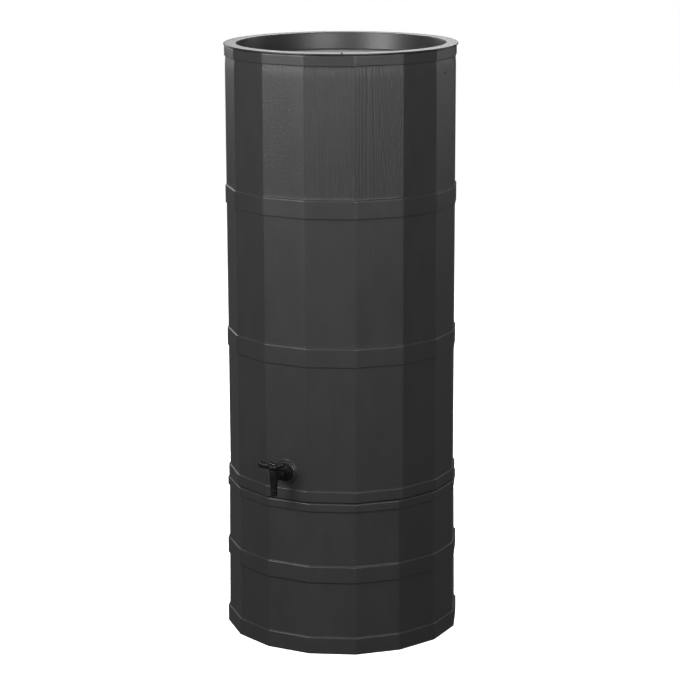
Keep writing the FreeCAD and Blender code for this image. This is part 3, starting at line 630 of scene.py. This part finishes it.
def neck_profile():
    """The neck from the column to the flange, and the tail that goes through the wall."""
    back = TAP_REACH - BOSS_RISE - WASHER
    face = back - FLANGE
    collar = face - COLLAR
    end = TAP_HIGH.y - TAP_AXIS.y
    neck = [(4 * MM, -2 * MM), (NECK, -2 * MM), (NECK, 18.4 * MM), (9.0 * MM, 18.8 * MM)]
    neck += [(10.0 * MM, 19.0 * MM), (SHOULDER, 19.5 * MM), (SHOULDER, 21.6 * MM)]
    neck += [(9.9 * MM, 22.0 * MM), (8.6 * MM, 22.3 * MM), (8.2 * MM, 23.4 * MM)]
    neck += [(8.2 * MM, collar - 1.2 * MM), (8.6 * MM, collar), (12.0 * MM, collar)]
    neck += [(COLLAR_RADIUS, collar + 0.5 * MM), (COLLAR_RADIUS, face), (15.7 * MM, face)]
    neck += [(FLANGE_RADIUS, face + 0.5 * MM), (FLANGE_RADIUS, back), (9.6 * MM, back)]
    return neck + [(9.6 * MM, end), (4 * MM, end)]


def thread_profile():
    """Rings round the tail in place of its screw thread."""
    root = TAP_REACH + WALL
    thread = [(5 * MM, root)]
    for ring in range(THREAD_RINGS):
        start = root + 1 * MM + ring * THREAD_PITCH
        thread += [(THREAD_ROOT, start), (THREAD_CREST, start + 0.5 * MM)]
        thread += [(THREAD_CREST, start + 0.9 * MM), (THREAD_ROOT, start + 1.4 * MM)]
    return thread + [(5 * MM, root + 17 * MM)]


def column_profile():
    """The upright column, from its hollow mouth up over the bead to the top of the plug's seat."""
    bottom = TAP_LOW.z - TAP_AXIS.z
    bead, top = BEAD_HEIGHT, COLUMN_TOP
    column = [(BORE, bottom + 16 * MM), (BORE, bottom + 0.5 * MM), (4.7 * MM, bottom)]
    column += [(5.7 * MM, bottom), (HOSE_TAIL, bottom + 0.6 * MM), (HOSE_TAIL, bead - 1.9 * MM)]
    column += [(6.9 * MM, bead - 1.6 * MM), (BEAD, bead - 1.1 * MM), (BEAD, bead - 0.5 * MM)]
    column += [(6.7 * MM, bead), (6.6 * MM, bead + 1.0 * MM), (8.2 * MM, top - 1.2 * MM)]
    return column + [(7.9 * MM, top - 0.4 * MM), (7.3 * MM, top), (BORE, top)]


def build_tap_body():
    """The tap's body: neck, threaded tail and column fused into one moulding."""
    place = tuple(TAP_AXIS)
    pieces = [turn(profile, axis="Y", place=place) for profile in (neck_profile(), thread_profile())]
    pieces.append(turn(column_profile(), place=place))
    piece = fused("tap_body_moulding", pieces, BODY_VOXEL, "barrel")
    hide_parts("tap_body")
    return piece


ARM_SIDES, ARM_STEPS = 32, 14
BALL_RINGS = 17


def ball(centre, radii):
    """A squashed ball as (vertices, faces)."""
    profile = [(math.cos(a), math.sin(a)) for a in np.radians(np.linspace(-85, 85, BALL_RINGS))]
    vertices, faces = turn(profile, segments=ARM_SIDES)
    return vertices * np.array(radii) + np.array(centre), faces


def arm(start, end):
    """A round-sided arm between two stations of (x, z, half width, half height)."""
    rows = []
    angle = np.linspace(0, 2 * np.pi, ARM_SIDES, endpoint=False)
    for share in np.linspace(0, 1, ARM_STEPS):
        ease = share * share * (3 - 2 * share)
        shares = (share, ease, ease, ease)
        x, z, wide, tall = [a + (b - a) * s for a, b, s in zip(start, end, shares)]
        ring = [np.full(ARM_SIDES, x), wide * np.cos(angle), z + tall * np.sin(angle)]
        rows.append(np.stack(ring, 1))
    ends = [[start[0], 0, start[1]], [end[0], 0, end[1]]]
    return np.concatenate(rows + [ends]), capped_faces(ARM_STEPS, ARM_SIDES)


def build_handle():
    """The lever: its hub, long arm, short arm, a knob on each arm, and a hump on the long arm."""
    place = np.array(TAP_AXIS)
    hub = [(7.9 * MM, 18.2 * MM), (7.9 * MM, 15.0 * MM), (8.2 * MM, 14.6 * MM)]
    hub += [(8.8 * MM, 14.7 * MM), (12.2 * MM, 19.8 * MM), (12.4 * MM, 20.6 * MM)]
    hub += [(12.2 * MM, 21.8 * MM), (11.4 * MM, 24.6 * MM), (10.4 * MM, 25.4 * MM)]
    hub += [(4.6 * MM, 26.3 * MM), (3.9 * MM, 26.0 * MM), (3.6 * MM, 24.5 * MM)]
    pieces = [
        turn(hub, segments=64),
        arm((-8.8 * MM, 20.8 * MM, 5.4 * MM, 6.0 * MM), (-25.5 * MM, 21.0 * MM, 4.8 * MM, 5.8 * MM)),
        arm((4 * MM, 21.8 * MM, 5.0 * MM, 3.8 * MM), (19.5 * MM, 25.4 * MM, 3.1 * MM, 2.5 * MM)),
        ball((-27.3 * MM, 0, 21.8 * MM), (6.1 * MM, 5.8 * MM, 6.6 * MM)),
        ball((19.5 * MM, 0, 26.5 * MM), (4.1 * MM, 4.0 * MM, 4.1 * MM)),
        ball((-6.6 * MM, 0, 25.3 * MM), (8.6 * MM, 4.2 * MM, 4.7 * MM)),
    ]
    pieces = [(vertices + place, faces) for vertices, faces in pieces]
    piece = fused("tap_lever", pieces, LEVER_VOXEL, "tap_valve")
    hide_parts("tap_handle")
    return piece


# ---------------------------------------------------------------- materials

PLASTIC_DARK, PLASTIC_LIGHT = (0.0222, 0.0222, 0.0219), (0.0268, 0.0268, 0.0264)
TAP_DARK, TAP_LIGHT = (0.0040, 0.0041, 0.0044), (0.0075, 0.0076, 0.0080)
RUBBER_DARK, RUBBER_LIGHT = (0.006, 0.006, 0.006), (0.016, 0.016, 0.016)
STEEL_DARK, STEEL_LIGHT = (0.13, 0.13, 0.135), (0.20, 0.20, 0.205)
PLASTIC_ROUGHNESS, TAP_ROUGHNESS = (0.385, 0.435), (0.37, 0.45)
RUBBER_ROUGHNESS, STEEL_ROUGHNESS = (0.62, 0.8), (0.40, 0.52)
PLASTIC_IOR = 1.5
TAP_SPECULAR = 0.21
NOISE_ROUGHNESS = 0.55
COARSE_BUMP, FINE_BUMP, PEEL_BUMP, DUST_BUMP = 0.42 * MM, 0.16 * MM, 0.012 * MM, 0.05 * MM
SMOOTH_TEXTURE = 0.35
EDGE_BEVEL = 0.3 * MM


class Nodes:
    """A material's node tree with short ways to add and join nodes."""

    def __init__(self, name):
        self.material = bpy.data.materials.new(name)
        self.material.use_nodes = True
        self.tree = self.material.node_tree
        self.shader = self.tree.nodes["Principled BSDF"]
        coordinates = self.add("ShaderNodeTexCoord")
        self.place = coordinates.outputs["Object"]

    def add(self, kind, **settings):
        node = self.tree.nodes.new(kind)
        for key, value in settings.items():
            setattr(node, key, value)
        return node

    def feed(self, source, target):
        self.tree.links.new(source, target)

    def noise(self, scale, detail):
        """Noise over object coordinates, with its own scale, per metre, along each axis."""
        stretch = self.add("ShaderNodeMapping")
        stretch.inputs["Scale"].default_value = scale
        self.feed(self.place, stretch.inputs["Vector"])
        node = self.add("ShaderNodeTexNoise")
        node.inputs["Scale"].default_value = 1.0
        node.inputs["Detail"].default_value = detail
        node.inputs["Roughness"].default_value = NOISE_ROUGHNESS
        self.feed(stretch.outputs["Vector"], node.inputs["Vector"])
        return node.outputs["Fac"]

    def remap(self, source, low, high, out_low, out_high):
        node = self.add("ShaderNodeMapRange")
        node.inputs["From Min"].default_value = low
        node.inputs["From Max"].default_value = high
        node.inputs["To Min"].default_value = out_low
        node.inputs["To Max"].default_value = out_high
        self.feed(source, node.inputs["Value"])
        return node.outputs["Result"]

    def maths(self, operation, one, two):
        node = self.add("ShaderNodeMath", operation=operation)
        for socket, value in zip(node.inputs, (one, two)):
            if isinstance(value, (int, float)):
                socket.default_value = value
            else:
                self.feed(value, socket)
        return node.outputs["Value"]

    def ramp(self, source, stops):
        node = self.add("ShaderNodeValToRGB")
        while len(node.color_ramp.elements) < len(stops):
            node.color_ramp.elements.new(0.5)
        for element, (position, colour) in zip(node.color_ramp.elements, stops):
            element.position = position
            element.color = (*colour, 1.0)
        self.feed(source, node.inputs["Fac"])
        return node.outputs["Color"]

    def bump(self, height, distance, under=None):
        node = self.add("ShaderNodeBump")
        node.inputs["Distance"].default_value = distance
        node.inputs["Strength"].default_value = 1.0
        self.feed(height, node.inputs["Height"])
        if under is not None:
            self.feed(under, node.inputs["Normal"])
        return node.outputs["Normal"]


def moulded_plastic(name, texture=1.0):
    """Anthracite polyethylene: fine vertical grain and a slightly mottled sheen."""
    n = Nodes(name)
    streaks = n.noise((900, 900, 14), detail=4)
    pores = n.noise((1500, 1500, 620), detail=2)
    mottle = n.noise((26, 26, 11), detail=3)
    tone = n.maths("ADD", n.maths("MULTIPLY", streaks, 0.35), n.maths("MULTIPLY", mottle, 0.65))
    colour = n.ramp(tone, [(0.30, PLASTIC_DARK), (0.70, PLASTIC_LIGHT)])
    n.feed(colour, n.shader.inputs["Base Color"])
    gloss = n.maths("ADD", n.maths("MULTIPLY", streaks, 0.4), n.maths("MULTIPLY", mottle, 0.6))
    n.feed(n.remap(gloss, 0.3, 0.7, *PLASTIC_ROUGHNESS), n.shader.inputs["Roughness"])
    n.shader.inputs["IOR"].default_value = PLASTIC_IOR
    height = n.maths("ADD", n.maths("MULTIPLY", streaks, 0.8), n.maths("MULTIPLY", pores, 0.35))
    grain = n.add("ShaderNodeAttribute", attribute_name="grain").outputs["Fac"]
    flecks = n.maths("MULTIPLY", n.noise((520, 520, 430), detail=2), grain)
    fibres = n.maths("MULTIPLY", n.noise((340, 340, 9), detail=2), 0.4)
    coarse = n.bump(n.maths("ADD", flecks, fibres), COARSE_BUMP * texture)
    n.feed(n.bump(height, FINE_BUMP * texture, under=coarse), n.shader.inputs["Normal"])
    return n.material


def gloss_plastic():
    """Black plastic of the tap, glossier than the mouldings, with a slight orange peel."""
    n = Nodes("tap_gloss_black")
    cloud = n.noise((120, 120, 120), detail=2)
    colour = n.ramp(cloud, [(0.3, TAP_DARK), (0.7, TAP_LIGHT)])
    n.feed(colour, n.shader.inputs["Base Color"])
    n.feed(n.remap(cloud, 0.3, 0.7, *TAP_ROUGHNESS), n.shader.inputs["Roughness"])
    n.shader.inputs["IOR"].default_value = PLASTIC_IOR
    n.shader.inputs["Specular IOR Level"].default_value = TAP_SPECULAR
    peel = n.noise((700, 700, 700), detail=1)
    n.feed(n.bump(peel, PEEL_BUMP), n.shader.inputs["Normal"])
    return n.material


def seal_rubber():
    """Matt black rubber with a trace of dust."""
    n = Nodes("seal_rubber_black")
    dust = n.noise((900, 900, 900), detail=4)
    colour = n.ramp(dust, [(0.35, RUBBER_DARK), (0.7, RUBBER_LIGHT)])
    n.feed(colour, n.shader.inputs["Base Color"])
    n.feed(n.remap(dust, 0.3, 0.7, *RUBBER_ROUGHNESS), n.shader.inputs["Roughness"])
    n.feed(n.bump(dust, DUST_BUMP), n.shader.inputs["Normal"])
    return n.material


def screw_steel():
    """Dull zinc-plated steel, faintly brushed."""
    n = Nodes("screw_zinc_steel")
    brushed = n.noise((2500, 2500, 200), detail=3)
    colour = n.ramp(brushed, [(0.3, STEEL_DARK), (0.7, STEEL_LIGHT)])
    n.feed(colour, n.shader.inputs["Base Color"])
    n.shader.inputs["Metallic"].default_value = 1.0
    n.feed(n.remap(brushed, 0.3, 0.7, *STEEL_ROUGHNESS), n.shader.inputs["Roughness"])
    return n.material


def dress(piece, material):
    """Gives a piece one material in place of any it has."""
    piece.data.materials.clear()
    piece.data.materials.append(material)


# ---------------------------------------------------------------- studio

CAMERA_BEARING = 29.55
CAMERA_DISTANCE = 4.472
CAMERA_HEIGHT = 1.580
CAMERA_SIDE = -3.5 * MM
CAMERA_PITCH = 12.78
CAMERA_ROLL = -0.21
LENS = 124.4
SENSOR = 36.0
FAR_CLIP = 200.0
STUDIO_REACH = 30.0
STUDIO_PALE = (0.86, 0.86, 0.86, 1.0)
STUDIO_WHITE = (1.0, 1.0, 1.0, 1.0)
STUDIO_GLOW = 0.9
WORLD_STRENGTH = 0.11


def build_camera():
    """The camera at the photo's angle, above the rim and tipped down at the barrel."""
    data = bpy.data.cameras.new("photo_camera")
    data.sensor_width = SENSOR
    data.lens = LENS
    data.clip_end = FAR_CLIP
    camera = bpy.data.objects.new("photo_camera", data)
    turn_by = math.radians(CAMERA_BEARING)
    camera.location = (
        CAMERA_SIDE * math.cos(turn_by) + CAMERA_DISTANCE * math.sin(turn_by),
        CAMERA_SIDE * math.sin(turn_by) - CAMERA_DISTANCE * math.cos(turn_by),
        CAMERA_HEIGHT,
    )
    camera.rotation_euler = (math.radians(90 - CAMERA_PITCH), 0.0, turn_by)
    camera.rotation_euler.rotate_axis("Z", math.radians(CAMERA_ROLL))
    bpy.context.scene.collection.objects.link(camera)
    bpy.context.scene.camera = camera


def softbox(name, bearing, distance, height, size, power, aim=0.7):
    """An area light at a bearing from the camera, aimed at a height on the barrel's axis."""
    data = bpy.data.lights.new(name, "AREA")
    data.shape = "RECTANGLE"
    data.size, data.size_y = size
    data.energy = power
    lamp = bpy.data.objects.new(name, data)
    angle = math.radians(bearing + CAMERA_BEARING)
    lamp.location = (distance * math.sin(angle), -distance * math.cos(angle), height)
    towards = Vector((0, 0, aim)) - lamp.location
    lamp.rotation_euler = towards.to_track_quat("-Z", "Y").to_euler()
    lamp.visible_camera = False
    bpy.context.scene.collection.objects.link(lamp)


def stage_piece(name, corners, faces, material):
    """A pale surface of the studio, which the object neither mirrors nor takes bounced light from."""
    mesh = bpy.data.meshes.new(name)
    mesh.from_pydata(corners, [], faces)
    piece = bpy.data.objects.new(name, mesh)
    bpy.context.scene.collection.objects.link(piece)
    dress(piece, material)
    piece.visible_glossy = False
    piece.visible_diffuse = False
    return piece


def build_room():
    """A pale floor and four pale walls. The walls cast no shadow, so the world's light comes in."""
    n = Nodes("studio_pale")
    n.shader.inputs["Base Color"].default_value = STUDIO_PALE
    n.shader.inputs["Roughness"].default_value = 0.9
    n.shader.inputs["Emission Color"].default_value = STUDIO_WHITE
    n.shader.inputs["Emission Strength"].default_value = STUDIO_GLOW
    reach = STUDIO_REACH
    ground = [(-reach, -reach, 0), (reach, -reach, 0), (reach, reach, 0), (-reach, reach, 0)]
    roof = [(x, y, reach) for x, y, _ in ground]
    walls = [(i, (i + 1) % 4, (i + 1) % 4 + 4, i + 4) for i in range(4)]
    stage_piece("floor", ground, [(0, 1, 2, 3)], n.material)
    backdrop = stage_piece("backdrop", ground + roof, walls, n.material)
    backdrop.visible_shadow = False


def build_studio():
    """A dim even world, the room, and six soft lamps."""
    world = bpy.data.worlds.new("studio")
    world.use_nodes = True
    world.node_tree.nodes["Background"].inputs["Color"].default_value = STUDIO_WHITE
    world.node_tree.nodes["Background"].inputs["Strength"].default_value = WORLD_STRENGTH
    bpy.context.scene.world = world
    build_room()
    softbox("key", bearing=-48, distance=2.3, height=1.8, size=(1.2, 1.0), power=66)
    softbox("fill", bearing=20, distance=3.0, height=1.8, size=(1.8, 1.2), power=65)
    softbox("left_edge", bearing=-145, distance=3.0, height=1.5, size=(0.8, 1.2), power=10)
    softbox("right_edge", bearing=115, distance=3.0, height=1.4, size=(1.0, 1.4), power=10)
    softbox("back", bearing=170, distance=3.0, height=2.4, size=(2.0, 0.8), power=17, aim=1.1)
    softbox("top", bearing=180, distance=2.0, height=3.2, size=(2.0, 1.2), power=90, aim=1.1)
    bpy.context.scene.view_settings.view_transform = "Standard"


# ---------------------------------------------------------------- assembly

def main():
    """Sets up the camera and studio, then makes and dresses every piece."""
    build_camera()
    build_studio()
    plastic = moulded_plastic("anthracite_moulding")
    smooth_plastic = moulded_plastic("anthracite_smooth", texture=SMOOTH_TEXTURE)
    gloss, rubber, steel = gloss_plastic(), seal_rubber(), screw_steel()
    for build in (build_barrel, build_stand):
        dress(build(), plastic)
    for build in (build_lid, build_boss):
        dress(build(), smooth_plastic)
    for build in (build_tap_body, build_handle):
        dress(build(), gloss)
    finishes = {
        "tap_outer_washer": rubber, "tap_inner_seal": rubber, "plug_oring_upper": rubber,
        "plug_oring_lower": rubber, "stem_oring": rubber, "tap_lock_nut": gloss,
        "tap_gland_nut": gloss, "tap_plug": gloss, "handle_screw": steel,
        "barrel_shell": plastic, "stand": plastic, "lid": smooth_plastic,
        "tap_body": gloss, "tap_handle": gloss,
    }
    for node, material in finishes.items():
        dress(frame["nodes"][node], material)
    edged = ["tap_outer_washer", "tap_inner_seal", "tap_lock_nut", "tap_gland_nut", "handle_screw"]
    for node in edged:
        bevel = frame["nodes"][node].modifiers.new("edge", "BEVEL")
        bevel.width = EDGE_BEVEL
        bevel.segments = 2
        bevel.limit_method = "ANGLE"


main()
